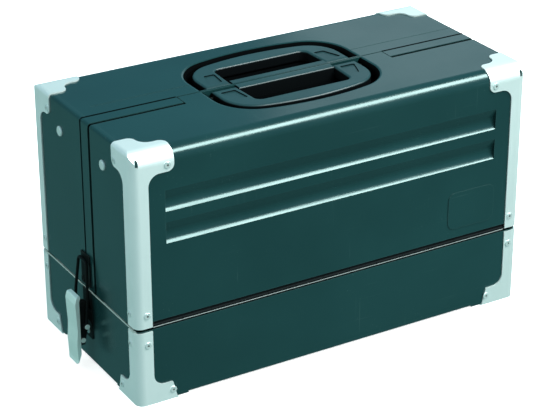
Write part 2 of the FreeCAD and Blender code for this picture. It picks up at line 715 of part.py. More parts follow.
base_sheet = base_shell()
base_all_holes = [base_holes, behind(base_holes), latch_holes(latch_rivet_places, LATCH_SHEET * 2)]
base_pan = base_sheet.common(box((-SEAM_X, -FAR, 0), (SEAM_X, FAR, FAR)))
for holes in base_all_holes:
    base_pan = base_pan.cut(holes).cut(across(holes))
base_end = fused([base_sheet.common(box((-FAR, -FAR, 0), (-SEAM_X, FAR, FAR))), base_lap()])
for holes in base_all_holes:
    base_end = base_end.cut(holes)
save("base_pan", [base_pan])
save("base_left_end", [base_end])
save("base_right_end", [across(base_end)])


# Piano hinges: knuckles by turns on the base's leaf and on the cover's leaf

def hinge_leaf(first, low, high, tab_low, tab_high):
    """One leaf with every second knuckle, from the one numbered first."""
    inside = -HALF_Y + SHEET
    pieces = [box((-HINGE_HALF, inside, low), (HINGE_HALF, inside + SHEET, high))]
    for i in range(first, KNUCKLE_COUNT, 2):
        start = -HINGE_HALF + i * KNUCKLE_LENGTH + KNUCKLE_GAP / 2
        end = start + KNUCKLE_LENGTH - KNUCKLE_GAP
        pieces.append(box((start, inside, tab_low), (end, inside + SHEET, tab_high)))
        pieces.append(rod("x", (HINGE_Y, HINGE_Z), KNUCKLE_RADIUS, start, end))
    leaf = fused(pieces)
    return leaf.cut(rod("x", (HINGE_Y, HINGE_Z), HINGE_PIN_RADIUS + PIN_PLAY, -FAR, FAR))


knuckle_clear = KNUCKLE_RADIUS + RUNNING_GAP
base_leaf = hinge_leaf(0, HINGE_Z - LEAF_WIDTH, HINGE_Z - knuckle_clear, HINGE_Z - knuckle_clear, HINGE_Z)
cover_leaf = hinge_leaf(1, HINGE_Z + knuckle_clear, HINGE_Z + LEAF_WIDTH, HINGE_Z, HINGE_Z + knuckle_clear)
hinge_pin = rod("x", (HINGE_Y, HINGE_Z), HINGE_PIN_RADIUS, -HINGE_HALF, HINGE_HALF)
save("front_hinge_base_leaf", [base_leaf])
save("front_hinge_cover_leaf", [cover_leaf])
save("front_hinge_pin", [hinge_pin])
save("rear_hinge_base_leaf", [behind(base_leaf)])
save("rear_hinge_cover_leaf", [behind(cover_leaf)])
save("rear_hinge_pin", [behind(hinge_pin)])


# Carrying handles, worked out on the front cover

BAIL_HIGH = BODY_TOP - BAIL_TOP_DROP
BAIL_LOW = BAIL_HIGH - BAIL_THICK
BAIL_AXIS_Y = -BAIL_END_Y - BAIL_THICK / 2
BAIL_AXIS_Z = (BAIL_HIGH + BAIL_LOW) / 2
RECESS_FLOOR = BODY_TOP - RECESS_DEPTH


def d_prism(grow, start_y, low, high):
    """A D shape: two straight sides from start_y, joined by corners to one long bow."""
    half = BAIL_HALF_LENGTH + grow
    reach = BAIL_REACH + grow
    round_radius = BAIL_CORNER + grow
    bow = BAIL_BOW_RADIUS + grow
    side_step = half - round_radius
    corner_y = -(reach - bow + math.sqrt((bow - round_radius) ** 2 - side_step ** 2))
    bow_y = bow - reach
    lean_x = side_step / (bow - round_radius)
    lean_y = (bow_y - corner_y) / (bow - round_radius)
    touch = Vec(-lean_x * bow, bow_y - lean_y * bow, low)
    slant = Vec(-1 - lean_x, -lean_y, 0).normalize()
    centre = Vec(-side_step, corner_y, low)
    left = [Vec(-half, corner_y, low), centre + slant * round_radius, touch]
    right = [Vec(-p.x, p.y, low) for p in reversed(left)]
    edges = [
        Part.makeLine(Vec(-half, start_y, low), left[0]),
        Part.Arc(*left).toShape(),
        Part.Arc(touch, Vec(0, -reach, low), right[0]).toShape(),
        Part.Arc(*right).toShape(),
        Part.makeLine(right[2], Vec(half, start_y, low)),
        Part.makeLine(Vec(half, start_y, low), Vec(-half, start_y, low)),
    ]
    return Part.Face(Part.Wire(edges)).extrude(Vec(0, 0, high - low))


def bail():
    """A moulded U-shaped handle, half as thick at its rounded edges, with a pivot in each arm."""
    whole = d_prism(0, -BAIL_END_Y, BAIL_LOW, BAIL_HIGH)
    inner_y = -BAIL_REACH + GRIP_WIDTH
    left_side = [(-FINGER_HALF_INNER, 0), (-FINGER_HALF_OUTER, inner_y)]
    hole = left_side + [(-x, y) for x, y in reversed(left_side)]
    whole = whole.cut(prism("z", hole, 0, FAR, {1: FINGER_ROUND, 2: FINGER_ROUND}))
    long_edges = [e for e in whole.Edges if is_rim(e)]
    whole = whole.makeFillet(BAIL_EDGE, long_edges)
    end = rod("x", (BAIL_AXIS_Y, BAIL_AXIS_Z), BAIL_THICK / 2, -FAR, FAR)
    grip = box((-FAR, -FAR, 0), (FAR, BAIL_AXIS_Y, FAR))
    whole = whole.common(end.fuse(grip))
    far_x = -BAIL_HALF_LENGTH + BAIL_PANEL_MARGIN
    near_x = -FINGER_HALF_INNER - BAIL_PANEL_MARGIN
    start_y = -BAIL_PANEL_START
    end_y = start_y - BAIL_PANEL_LENGTH
    panel = [(far_x, start_y), (near_x, start_y)]
    panel += [(near_x + BAIL_PANEL_MARGIN / 2, end_y), (far_x + BAIL_PANEL_TAPER, end_y)]
    rounds = {i: BAIL_PANEL_ROUND for i in range(4)}
    dish = prism("z", panel, BAIL_HIGH - BAIL_PANEL_DEPTH, FAR, rounds)
    whole = whole.cut(dish).cut(across(dish))
    return whole.cut(rod("x", (BAIL_AXIS_Y, BAIL_AXIS_Z), BAIL_PIN_RADIUS + PIN_PLAY, -FAR, FAR))


def is_rim(edge):
    """True for a long edge of the bail's top or bottom face, away from the ends of its arms."""
    box_z = edge.BoundBox
    flat = abs(box_z.ZMax - box_z.ZMin) < 0.001
    return flat and not (box_z.YMin > -BAIL_END_Y - 0.01)


def handle_bar(edge_y):
    """The moulded bar between the two arms, on the recess's floor."""
    low_y = edge_y - SHEET - BAR_WIDTH
    high_y = edge_y - SHEET
    bar = box((-BAR_HALF_LENGTH, low_y, RECESS_FLOOR), (BAR_HALF_LENGTH, high_y, BODY_TOP))
    top_edges = [e for e in bar.Edges if e.BoundBox.ZMin > BODY_TOP - 0.01]
    bar = bar.makeFillet(BAR_EDGE, [e for e in top_edges if e.BoundBox.YMax < high_y - 0.01])
    socket = rod("x", (BAIL_AXIS_Y, BAIL_AXIS_Z), BAIL_PIN_RADIUS, -FAR, -BAR_HALF_LENGTH + BAR_SOCKET)
    return bar.cut(socket).cut(across(socket))


def handle_pin():
    """A steel pin from the bar through one arm to a head behind the recess's wall."""
    head_x = -BAIL_HALF_LENGTH - RECESS_GAP - SHEET - PIN_HEAD_GAP
    axis = (BAIL_AXIS_Y, BAIL_AXIS_Z)
    pin = rod("x", axis, BAIL_PIN_RADIUS, head_x - PIN_HEAD_THICK, -BAR_HALF_LENGTH + BAR_SOCKET)
    head = rod("x", axis, PIN_HEAD_RADIUS, head_x - PIN_HEAD_THICK, head_x)
    return fused([pin, head])


bail_front = bail()
pins = both_ends([handle_pin()])
save("front_handle", [bail_front])
save("rear_handle", [behind(bail_front)])
save("front_handle_bar", [handle_bar(-LINE_GAP)])
save("rear_handle_bar", [behind(handle_bar(-LINE_GAP))])
save("front_handle_pins", pins)
save("rear_handle_pins", [behind(p) for p in pins])


# Covers: a wrapping sheet with grooves and the handle's recess, and two end plates

def groove(low, thick):
    """One groove's section along the wall, grown inwards by a thickness for the sheet behind it."""
    high = low + GROOVE_HEIGHT
    wall = -HALF_Y
    start = wall if thick else wall - GROOVE_DEPTH
    points = [
        (start, high + thick),
        (wall + thick, high + thick),
        (wall + GROOVE_DEPTH + thick, low + GROOVE_VALLEY),
        (wall + thick, low - thick),
        (start, low - thick),
    ]
    end = GROOVE_HALF_LENGTH + thick
    return prism("x", points, -end, end, {2: GROOVE_ROUND + thick})


def blank_panel():
    """A plain raised panel with rounded corners on the front wall."""
    x = PANEL_LENGTH / 2
    z = PANEL_HEIGHT / 2
    points = [(-x, -z), (x, -z), (x, z), (-x, z)]
    pad = prism("y", points, -HALF_Y - PANEL_RISE, -HALF_Y, {i: PANEL_ROUND for i in range(4)})
    pad.translate(Vec(HALF_X - PANEL_END, 0, COVER_BOTTOM + PANEL_UP))
    return pad


def brim(grow, round_radius, top):
    """What lies round the recess: a U of solid ground whose inner top edge is rounded."""
    bottom = RECESS_FLOOR - 2 * SHEET
    ground = d_prism(RECESS_GAP + RECESS_BRIM + SHEET, 0, bottom, top)
    ground = ground.cut(d_prism(grow, SHEET, bottom - SHEET, top + SHEET))
    rim = [e for e in ground.Edges if e.BoundBox.ZMin > top - 0.01 and not is_outer(e.BoundBox, grow)]
    return ground.makeFillet(round_radius, rim)


def is_outer(place, grow):
    """True for an edge that lies outside the recess's wall."""
    wide = max(abs(place.XMin), abs(place.XMax)) > BAIL_HALF_LENGTH + grow + 0.01
    return wide or place.YMin < -BAIL_REACH - grow - 0.01


def cover_wrap(edge_y, region):
    """A cover's long wall and top in one sheet, up to its edge near the middle."""
    sheet = skin(0, SHEET, COVER_BOTTOM).common(box((-SEAM_X, -FAR, 0), (SEAM_X, 0, FAR)))
    hinge_top = HINGE_Z + KNUCKLE_RADIUS + LEAF_SHOW
    sheet = sheet.cut(box((-FAR, -FAR, 0), (FAR, -HALF_Y + TOP_BEND, hinge_top)))
    brim_grow = RECESS_GAP + RECESS_BRIM
    pan = d_prism(brim_grow, edge_y, RECESS_FLOOR - SHEET, BODY_TOP)
    pan = pan.cut(brim(RECESS_GAP + SHEET, RECESS_BRIM - SHEET, BODY_TOP - SHEET))
    dish = d_prism(brim_grow, edge_y - SHEET, RECESS_FLOOR, BODY_TOP + SHEET)
    dish = dish.cut(brim(RECESS_GAP, RECESS_BRIM, BODY_TOP))
    lows = [GROOVE_LOW, GROOVE_LOW + GROOVE_PITCH]
    sheet = fused([sheet.common(region), pan] + [groove(low, SHEET) for low in lows])
    pin_hole = rod("x", (BAIL_AXIS_Y, BAIL_AXIS_Z), BAIL_PIN_RADIUS, -FAR, FAR)
    for void in [dish, pin_hole] + [groove(low, 0) for low in lows]:
        sheet = sheet.cut(void)
    return sheet.cut(cover_holes).cut(across(cover_holes))


def cover_end(edge_y, lap_y):
    """A cover's left end plate, with its flange under the wrapping sheet."""
    plate = skin(0, SHEET, COVER_BOTTOM).common(box((-FAR, -FAR, 0), (-SEAM_X, edge_y, FAR)))
    lap_bottom = COVER_STRIP_RIVET_Z + RIVET_TAIL + RUNNING_GAP
    lap_zone = box((-HALF_X + 2 * SHEET, -FAR, 0), (-SEAM_X + END_LAP, lap_y, FAR))
    lap = skin(SHEET, SHEET, lap_bottom).common(lap_zone)
    whole = fused([plate, lap]).cut(cover_holes)
    return whole.cut(rod("x", (-TRAY_PIVOT_Y, TRAY_PIVOT_Z), ARM_PIN_RADIUS, -FAR, 0))


front_region = box((-FAR, -FAR, 0), (FAR, -FRONT_EDGE, FAR))
tongue_bottom = RECESS_FLOOR - TOP_BEND
front_region = front_region.fuse(box((-TONGUE_HALF, -FAR, tongue_bottom), (TONGUE_HALF, -LINE_GAP, FAR)))
rear_region = box((-FAR, -FAR, 0), (FAR, -LINE_GAP / 2, FAR))

front_wrap = cover_wrap(-LINE_GAP, front_region).fuse(blank_panel()).removeSplitter()
front_end = cover_end(-FRONT_EDGE, -FRONT_EDGE)
save("front_cover", [front_wrap])
save("front_cover_left_end", [front_end])
save("front_cover_right_end", [across(front_end)])

crease_side = CREASE_WIDTH / 2
crease = box(
    (-SEAM_X + CREASE_END, -CREASE_Y - crease_side, BODY_TOP - CREASE_DEPTH),
    (SEAM_X, -CREASE_Y + crease_side, FAR),
)
crease = crease.cut(d_prism(RECESS_GAP + RECESS_BRIM, 0, 0, FAR))
rear_wrap = behind(cover_wrap(-LINE_GAP / 2, rear_region).cut(crease))
rear_end = cover_end(-LINE_GAP / 2, -BAND_LAP - RUNNING_GAP)
keeper_holes = latch_holes(keeper_rivet_places, KEEPER_THICK * 2)
rear_end = behind(rear_end).cut(keeper_holes)
save("rear_cover", [rear_wrap])
save("rear_cover_left_end", [rear_end])
save("rear_cover_right_end", [across(rear_end)])


# Closing band of the rear cover: a strip round each end with a lap behind the cover's edge

band_end_x = -TONGUE_HALF - LINE_GAP
strip = skin(0, SHEET, COVER_BOTTOM)
strip = strip.common(box((-FAR, -BAND_WIDTH, 0), (band_end_x, -LINE_GAP / 2, FAR)))
band_lap = skin(SHEET, SHEET, COVER_BOTTOM)
band_lap = band_lap.common(box((-FAR, -BAND_WIDTH / 2, 0), (band_end_x, BAND_LAP, FAR)))
band = fused([strip, band_lap]).cut(keeper_holes)
save("rear_cover_closing_band", both_ends([band]))


# Trays and the parallel arms that carry them, worked out on the front side

cover_pivot = (-TRAY_PIVOT_Y, TRAY_PIVOT_Z)
long_foot = (HINGE_Y + ARM_SHIFT_Y, HINGE_Z + ARM_SHIFT_Z)
long_top = (cover_pivot[0] + ARM_SHIFT_Y, cover_pivot[1] + ARM_SHIFT_Z)
stride = (cover_pivot[0] - HINGE_Y, cover_pivot[1] - HINGE_Z)
long_middle = (long_foot[0] + ARM_SHARE * stride[0], long_foot[1] + ARM_SHARE * stride[1])
short_foot = (long_foot[0] + SHORT_SHIFT_Y, long_foot[1] + SHORT_SHIFT_Z)
short_top = (short_foot[0] + ARM_SHARE * stride[0], short_foot[1] + ARM_SHARE * stride[1])
ear_reach = ARM_PIN_RADIUS + EAR_MARGIN


def arm(foot, top, holes):
    """A flat arm with round ends at the left end of the box, drilled for its rivets."""
    along = (Vec(top[0], top[1], 0) - Vec(foot[0], foot[1], 0)).normalize()
    half = ARM_WIDTH / 2
    side = Vec(-along.y, along.x, 0) * half
    low = Vec(foot[0], foot[1], 0) - along * half
    high = Vec(top[0], top[1], 0) + along * half
    corners = [low + side, low - side, high - side, high + side]
    points = [(p.x, p.y) for p in corners]
    rounds = {i: half * 0.999 for i in range(4)}
    bar = prism("x", points, -ARM_OUTER_X, -ARM_INNER_X, rounds)
    for hole in holes:
        bar = bar.cut(rod("x", hole, ARM_PIN_RADIUS + PIN_PLAY, -FAR, 0))
    return bar


def tray(outer_y, floor, rim, ends, holes):
    """A sheet tray with hemmed long walls; ends is the outline of its two end walls."""
    outer = box((-TRAY_HALF_LENGTH, -outer_y, floor), (TRAY_HALF_LENGTH, -TRAY_INNER_Y, rim))
    inner = box(
        (-TRAY_HALF_LENGTH + SHEET, -outer_y + SHEET, floor + SHEET),
        (TRAY_HALF_LENGTH - SHEET, -TRAY_INNER_Y - SHEET, FAR),
    )
    hem_x = TRAY_HALF_LENGTH - SHEET - ARM_HEAD_THICK - RUNNING_GAP
    hems = [
        box((-hem_x, -outer_y, rim - TRAY_HEM), (hem_x, -outer_y + TRAY_HEM_THICK, rim)),
        box((-hem_x, -TRAY_INNER_Y - TRAY_HEM_THICK, rim - TRAY_HEM), (hem_x, -TRAY_INNER_Y, rim)),
    ]
    wall_x = -TRAY_HALF_LENGTH
    end = prism("x", ends, wall_x, wall_x + SHEET, {i: EAR_ROUND for i in range(2, len(ends))})
    whole = fused([outer.cut(inner)] + hems + [end, across(end)])
    for hole, radius in holes:
        whole = whole.cut(rod("x", hole, radius, -FAR, FAR))
    return whole


def arm_rivet(place):
    """A shouldered rivet that joins a tray's left end wall to an arm."""
    wall = -TRAY_HALF_LENGTH
    shoulder_end = -ARM_INNER_X + RUNNING_GAP
    head_start = -ARM_OUTER_X - RUNNING_GAP
    pieces = [
        rod("x", place, ARM_HEAD_RADIUS, wall + SHEET, wall + SHEET + ARM_HEAD_THICK),
        rod("x", place, ARM_HEAD_RADIUS, shoulder_end, wall),
        rod("x", place, ARM_PIN_RADIUS, head_start, wall + SHEET),
        rod("x", place, ARM_HEAD_RADIUS, head_start - ARM_HEAD_THICK, head_start),
    ]
    return fused(pieces)


def foot_rivet(place):
    """A rivet that holds an arm's foot to its bracket."""
    head = -ARM_INNER_X + RUNNING_GAP
    pin = rod("x", place, ARM_PIN_RADIUS, -HALF_X + SHEET + BRACKET_GAP, head)
    return fused([pin, rod("x", place, ARM_HEAD_RADIUS, head, head + ARM_HEAD_THICK)])


def cover_rivet(place):
    """The bright rivet in a cover's end that the upper tray hangs on."""
    wall = -HALF_X
    head = rod("x", place, COVER_RIVET_HEAD, wall - COVER_RIVET_RISE, wall)
    crown = [e for e in head.Edges if is_far_ring(e, "x", wall - COVER_RIVET_RISE)]
    head = head.makeFillet(COVER_RIVET_CROWN, crown)
    tray_wall = -TRAY_HALF_LENGTH
    inner_head = tray_wall + SHEET + RUNNING_GAP
    pieces = [
        head,
        rod("x", place, ARM_PIN_RADIUS, wall, inner_head),
        rod("x", place, ARM_HEAD_RADIUS, wall + SHEET, tray_wall - RUNNING_GAP),
        rod("x", place, ARM_HEAD_RADIUS, inner_head, inner_head + ARM_HEAD_THICK),
    ]
    return fused(pieces)


def bracket():
    """A plate welded inside the base's left end that the arms' feet turn on."""
    left_y = long_foot[0] - BRACKET_MARGIN
    right_y = short_foot[0] + BRACKET_MARGIN
    top_z = short_foot[1] + BRACKET_MARGIN
    points = [
        (left_y, BRACKET_BOTTOM),
        (right_y, BRACKET_BOTTOM),
        (right_y, top_z),
        (short_foot[0] - BRACKET_MARGIN, top_z),
        (left_y, long_foot[1] + BRACKET_MARGIN),
    ]
    wall = -HALF_X + SHEET
    face = wall + BRACKET_GAP
    plate = prism("x", points, face, face + BRACKET_THICK, {i: BRACKET_ROUND for i in (2, 3, 4)})
    pad_top = BASE_TOP - 2 * SHEET
    pad = box((wall, left_y, BRACKET_BOTTOM), (wall + BRACKET_GAP, right_y, pad_top))
    whole = fused([plate, pad])
    for place in [long_foot, short_foot]:
        whole = whole.cut(rod("x", place, ARM_PIN_RADIUS, -FAR, 0))
    return whole


mid_rim = long_middle[1] + MID_TRAY_RIM_RISE
mid_floor = mid_rim - MID_TRAY_DEPTH
mid_ear = short_top[1] + ear_reach
mid_end = [
    (-MID_TRAY_OUTER_Y, mid_floor),
    (-TRAY_INNER_Y, mid_floor),
    (-TRAY_INNER_Y, mid_ear),
    (short_top[0] - ear_reach, mid_ear),
    (long_middle[0] + ear_reach, mid_rim + HIP_MARGIN),
    (long_middle[0] - ear_reach, mid_rim + HIP_MARGIN),
    (-MID_TRAY_OUTER_Y, mid_rim),
]
hole_fixed = ARM_PIN_RADIUS
hole_running = ARM_PIN_RADIUS + PIN_PLAY
mid_holes = [(long_middle, hole_fixed), (short_top, hole_fixed)]
mid_tray = tray(MID_TRAY_OUTER_Y, mid_floor, mid_rim, mid_end, mid_holes)

upper_outer = TRAY_PIVOT_Y + UPPER_TRAY_REACH
upper_rim = TRAY_PIVOT_Z + UPPER_TRAY_RIM_RISE
upper_floor = mid_ear + TRAY_STACK_GAP
ear_top = long_top[1] + ear_reach
hip_top = cover_pivot[1] + ear_reach + HIP_MARGIN
upper_end = [
    (-upper_outer, upper_floor),
    (-TRAY_INNER_Y, upper_floor),
    (-TRAY_INNER_Y, ear_top),
    (long_top[0] - ear_reach, ear_top),
    (long_top[0] - 2 * ear_reach, hip_top),
    (cover_pivot[0] - ear_reach, hip_top),
    (-upper_outer, upper_rim),
]
upper_holes = [(cover_pivot, hole_running), (long_top, hole_fixed)]
upper_tray = tray(upper_outer, upper_floor, upper_rim, upper_end, upper_holes)
divider = box(
    (-DIVIDER_X - DIVIDER_THICK, -MID_TRAY_OUTER_Y + TRAY_HEM_THICK, mid_floor + SHEET),
    (-DIVIDER_X, -TRAY_INNER_Y - TRAY_HEM_THICK, mid_rim - TRAY_HEM),
)

long_arms = both_ends([arm(long_foot, long_top, [long_foot, long_middle, long_top])])
short_arms = both_ends([arm(short_foot, short_top, [short_foot, short_top])])
upper_rivets = both_ends([arm_rivet(long_top)])
mid_rivets = both_ends([arm_rivet(long_middle), arm_rivet(short_top)])
tray_rivets = both_ends([cover_rivet(cover_pivot)])
foot_rivets = both_ends([foot_rivet(long_foot), foot_rivet(short_foot)])
brackets = both_ends([bracket()])
dividers = both_ends([divider])

side_parts = {
    "upper_tray": [upper_tray],
    "mid_tray": [mid_tray],
    "mid_tray_dividers": dividers,
    "long_arms": long_arms,
    "short_arms": short_arms,
    "upper_tray_arm_rivets": upper_rivets,
    "mid_tray_arm_rivets": mid_rivets,
    "cover_tray_rivets": tray_rivets,
}
for name, shapes in side_parts.items():
    save("front_" + name, shapes)
    save("rear_" + name, [behind(s) for s in shapes])
save("arm_brackets", brackets + [behind(b) for b in brackets])
save("arm_foot_rivets", foot_rivets + [behind(r) for r in foot_rivets])
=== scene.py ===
"""The looks of a steel cantilever tool box: its finishes, its thin trim, the studio and the camera."""

import math

import bmesh
import bpy
import numpy as np
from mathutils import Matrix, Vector


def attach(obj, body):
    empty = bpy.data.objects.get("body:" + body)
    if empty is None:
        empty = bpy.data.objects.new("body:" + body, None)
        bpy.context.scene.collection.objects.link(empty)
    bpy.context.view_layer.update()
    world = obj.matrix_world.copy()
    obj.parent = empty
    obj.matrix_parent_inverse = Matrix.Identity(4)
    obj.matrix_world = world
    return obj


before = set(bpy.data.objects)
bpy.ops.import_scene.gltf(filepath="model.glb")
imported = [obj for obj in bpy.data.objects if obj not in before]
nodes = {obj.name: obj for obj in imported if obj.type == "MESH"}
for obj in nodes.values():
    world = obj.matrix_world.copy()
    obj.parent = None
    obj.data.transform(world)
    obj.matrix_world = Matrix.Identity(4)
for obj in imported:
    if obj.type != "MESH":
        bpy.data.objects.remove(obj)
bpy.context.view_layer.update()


# The case: base pan, two covers, their end plates and the closing band. Cold-rolled
# sheet steel, folded and spot-welded, then stove-enamelled in one dark blue-green coat.
# The coat dries with a faint orange peel. A paler line is painted along the base's end rims.
SHELLS = ("base", "front_cover", "rear_cover")
PAINT = (0.0044, 0.0212, 0.0220, 1)
PAINT_EDGE = (0.045, 0.095, 0.092, 1)
PAINT_GLOSS = 0.50
GLOSS_TINT = (0.72, 1.0, 0.99, 1)
PAINT_CLOUDS = 6.0
CLOUD_SPAN = (0.3, 0.7)
CLOUD_LIGHTER = 1.25
PAINT_SCRATCHES = 0.30
# How far the enamel's outer edges lighten, partly as wear and partly as a painted highlight
PAINT_EDGE_WEAR_SHEEN = 0.45
PAINT_PATCHES = 0.05
PEEL_SCALE = 800

# Three sets of hair scratches: the turn in radians, and how fine they are along x, y and z
SCRATCH_SETS = ((0.5, (900, 900, 9)), (-0.9, (11, 700, 700)), (0.2, (600, 8, 600)))
SCRATCH_LEAN = 0.6
SCRATCH_CUT = (0.70, 0.78)
SCRATCHED_AREA = (0.52, 0.66)
AREA_SCALE = 21.0
AREA_SPREAD = 9.0
MARK_SCALE = 1.0
PATCH_SCALE = 13.0
PATCH_SPAN = (0.35, 0.70)
# The lightened outer edges, partly wear and partly a painted highlight: how wide, and how far the normal
# must lean
EDGE_WEAR_SHEEN_RADIUS = 0.0006
EDGE_WEAR_SHEEN_LEAN = (0.995, 0.86)

# The pale line: heights between which it fades in and out, and how far out the ends' faces are
RIM_PALE = (0.27, 0.36, 0.34, 1)
RIM_LINE = (0.0788, 0.0792, 0.0802, 0.0806)
END_FACE = (0.2186, 0.2194)


def connect(tree, node, inputs):
    """Feeds a node's inputs, each with a plain value or another node's output."""
    for name, value in inputs.items():
        if isinstance(value, bpy.types.NodeSocket):
            tree.links.new(value, node.inputs[name])
        else:
            node.inputs[name].default_value = value


def add(tree, kind, inputs=None, **settings):
    """A new node in a tree, with its settings and its inputs."""
    node = tree.nodes.new(kind)
    for name, value in settings.items():
        setattr(node, name, value)
    connect(tree, node, inputs or {})
    return node


def value_of(tree, kind, first, second=0.0):
    """The result of one Math node on two numbers or sockets."""
    return add(tree, "ShaderNodeMath", {0: first, 1: second}, operation=kind).outputs[0]


def raised(tree, base, mask, amount):
    """A number that grows by an amount where a mask is 1."""
    return value_of(tree, "ADD", value_of(tree, "MULTIPLY", mask, amount), base)


def between(tree, value, span, result=(0.0, 1.0)):
    """A number stretched smoothly from one span to another and held at its ends."""
    ends = {"From Min": span[0], "From Max": span[1], "To Min": result[0], "To Max": result[1]}
    inputs = {"Value": value, **ends}
    return add(tree, "ShaderNodeMapRange", inputs, interpolation_type="SMOOTHSTEP").outputs["Result"]


def within(tree, value, line):
    """1 between the inner two of four limits, fading to 0 at the outer two."""
    rise = between(tree, value, line[:2])
    fall = between(tree, value, line[2:], (1.0, 0.0))
    return value_of(tree, "MULTIPLY", rise, fall)


def noise(tree, place, scale, detail=2.0):
    """A cloudy pattern of values from 0 to 1."""
    pattern = {"Vector": place, "Scale": scale, "Detail": detail}
    return add(tree, "ShaderNodeTexNoise", pattern).outputs["Fac"]


def axis_of(tree, kind, axis):
    """One axis of the Object coordinates, in metres, or of the Normal."""
    where = add(tree, "ShaderNodeTexCoord").outputs[kind]
    return add(tree, "ShaderNodeSeparateXYZ", {0: where}).outputs[axis]


def mixed(tree, share, first, second):
    """Two colours blended by a share from 0 to 1."""
    node = add(tree, "ShaderNodeMix", data_type="RGBA")
    order = {socket.identifier: index for index, socket in enumerate(node.inputs)}
    colours = {order["A_Color"]: first, order["B_Color"]: second}
    connect(tree, node, {order["Factor_Float"]: share, **colours})
    return next(socket for socket in node.outputs if socket.identifier == "Result_Color")


def touched(tree, shade, mask, share, colour):
    """A shade that turns towards a colour by a share where a mask is 1."""
    return mixed(tree, value_of(tree, "MULTIPLY", mask, share), shade, colour)


def lightened(colour, times):
    """A colour some times as light."""
    return tuple(channel * times for channel in colour[:3]) + (1,)


def slope(tree, height, depth):
    """The normal of a surface that a height from 0 to 1 lifts by a depth in metres."""
    return add(tree, "ShaderNodeBump", {"Height": height, "Distance": depth}).outputs[0]


def new_group(name, inputs, outputs):
    """An empty shader group with named inputs of given kinds and named number outputs."""
    tree = bpy.data.node_groups.new(name, "ShaderNodeTree")
    for label, kind in inputs.items():
        tree.interface.new_socket(name=label, in_out="INPUT", socket_type=kind)
    for label in outputs:
        tree.interface.new_socket(name=label, in_out="OUTPUT", socket_type="NodeSocketFloat")
    return tree, tree.nodes.new("NodeGroupInput").outputs, tree.nodes.new("NodeGroupOutput")


def make_use_marks():
    """Hair scratches along three slants and broad rubbed patches, as masks from 0 to 1."""
    kinds = {"Vector": "NodeSocketVector", "Scale": "NodeSocketFloat"}
    tree, start, end = new_group("use_marks", kinds, ["Scratches", "Patches"])
    scaled = {0: start["Vector"], "Scale": start["Scale"]}
    place = add(tree, "ShaderNodeVectorMath", scaled, operation="SCALE").outputs[0]
    scratches = 0.0
    for turn, fineness in SCRATCH_SETS:
        turned = {"Vector": place, "Rotation": (turn, turn * SCRATCH_LEAN, turn), "Scale": fineness}
        slant = add(tree, "ShaderNodeMapping", turned).outputs[0]
        line = between(tree, noise(tree, slant, 1.0, 1.0), SCRATCH_CUT)
        area = between(tree, noise(tree, place, AREA_SCALE + AREA_SPREAD * turn), SCRATCHED_AREA)
        scratches = value_of(tree, "MAXIMUM", scratches, value_of(tree, "MULTIPLY", line, area))
    patches = between(tree, noise(tree, place, PATCH_SCALE, 4.0), PATCH_SPAN)
    connect(tree, end, {"Scratches": scratches, "Patches": patches})
    return tree


def make_edge_wear_and_sheen():
    """Where an outer edge is lightened, partly as wear and partly as a painted highlight: the true normal
    leans away from one smoothed over the edge.
    """
    tree, start, end = new_group("edge_wear_and_sheen", {"Radius": "NodeSocketFloat"}, ["Mask"])
    smoothed = add(tree, "ShaderNodeBevel", {"Radius": start["Radius"]}, samples=4).outputs[0]
    true = add(tree, "ShaderNodeNewGeometry").outputs["Normal"]
    lean = add(tree, "ShaderNodeVectorMath", {0: smoothed, 1: true}, operation="DOT_PRODUCT")
    connect(tree, end, {"Mask": between(tree, lean.outputs["Value"], EDGE_WEAR_SHEEN_LEAN)})
    return tree


USE_MARKS = make_use_marks()
EDGE_WEAR_AND_SHEEN = make_edge_wear_and_sheen()


def new_material(name):
    """A new material: itself, its tree, its shader, its Object coordinates and the masks of its wear."""
    material = bpy.data.materials.new(name)
    material.use_nodes = True
    tree = material.node_tree
    place = add(tree, "ShaderNodeTexCoord").outputs["Object"]
    marks = add(tree, "ShaderNodeGroup", {"Vector": place, "Scale": MARK_SCALE}, node_tree=USE_MARKS)
    edge = add(tree, "ShaderNodeGroup", {"Radius": EDGE_WEAR_SHEEN_RADIUS}, node_tree=EDGE_WEAR_AND_SHEEN)
    masks = {**marks.outputs, **edge.outputs}
    return material, tree, tree.nodes["Principled BSDF"], place, masks


def enamel(name, colour, wear_and_sheen, roughness, peel_depth, gloss=PAINT_GLOSS):
    """Stove enamel: uneven gloss, orange peel, light scratches, and outer edges lightened as wear and as a
    painted highlight.
    """
    material, tree, shader, place, masks = new_material(name)
    clouds = between(tree, noise(tree, place, PAINT_CLOUDS, 3.0), CLOUD_SPAN)
    shade = mixed(tree, clouds, colour, lightened(colour, CLOUD_LIGHTER))
    shade = touched(tree, shade, masks["Scratches"], PAINT_SCRATCHES, wear_and_sheen)
    # Outer edges lighten, partly as wear and partly as a painted highlight.
    shade = touched(tree, shade, masks["Mask"], PAINT_EDGE_WEAR_SHEEN, wear_and_sheen)
    finish = {
        "Base Color": shade,
        "Roughness": raised(tree, roughness, masks["Patches"], PAINT_PATCHES),
        "Specular IOR Level": gloss,
        "Specular Tint": GLOSS_TINT,
        "Normal": slope(tree, noise(tree, place, PEEL_SCALE, 1.0), peel_depth),
    }
    connect(tree, shader, finish)
    return material


def lay_over(material, share, colour):
    """Covers a finished material with another colour where a share is 1."""
    tree = material.node_tree
    shader = tree.nodes["Principled BSDF"]
    under = shader.inputs["Base Color"].links[0].from_socket
    connect(tree, shader, {"Base Color": mixed(tree, share, under, colour)})


def finish_nodes(material, *names):
    """Gives carried-over pieces their finish."""
    for name in names:
        for slot in nodes[name].material_slots:
            slot.material = material


case_paint = enamel("case_enamel", PAINT, PAINT_EDGE, roughness=0.20, peel_depth=0.000008)
tree = case_paint.node_tree
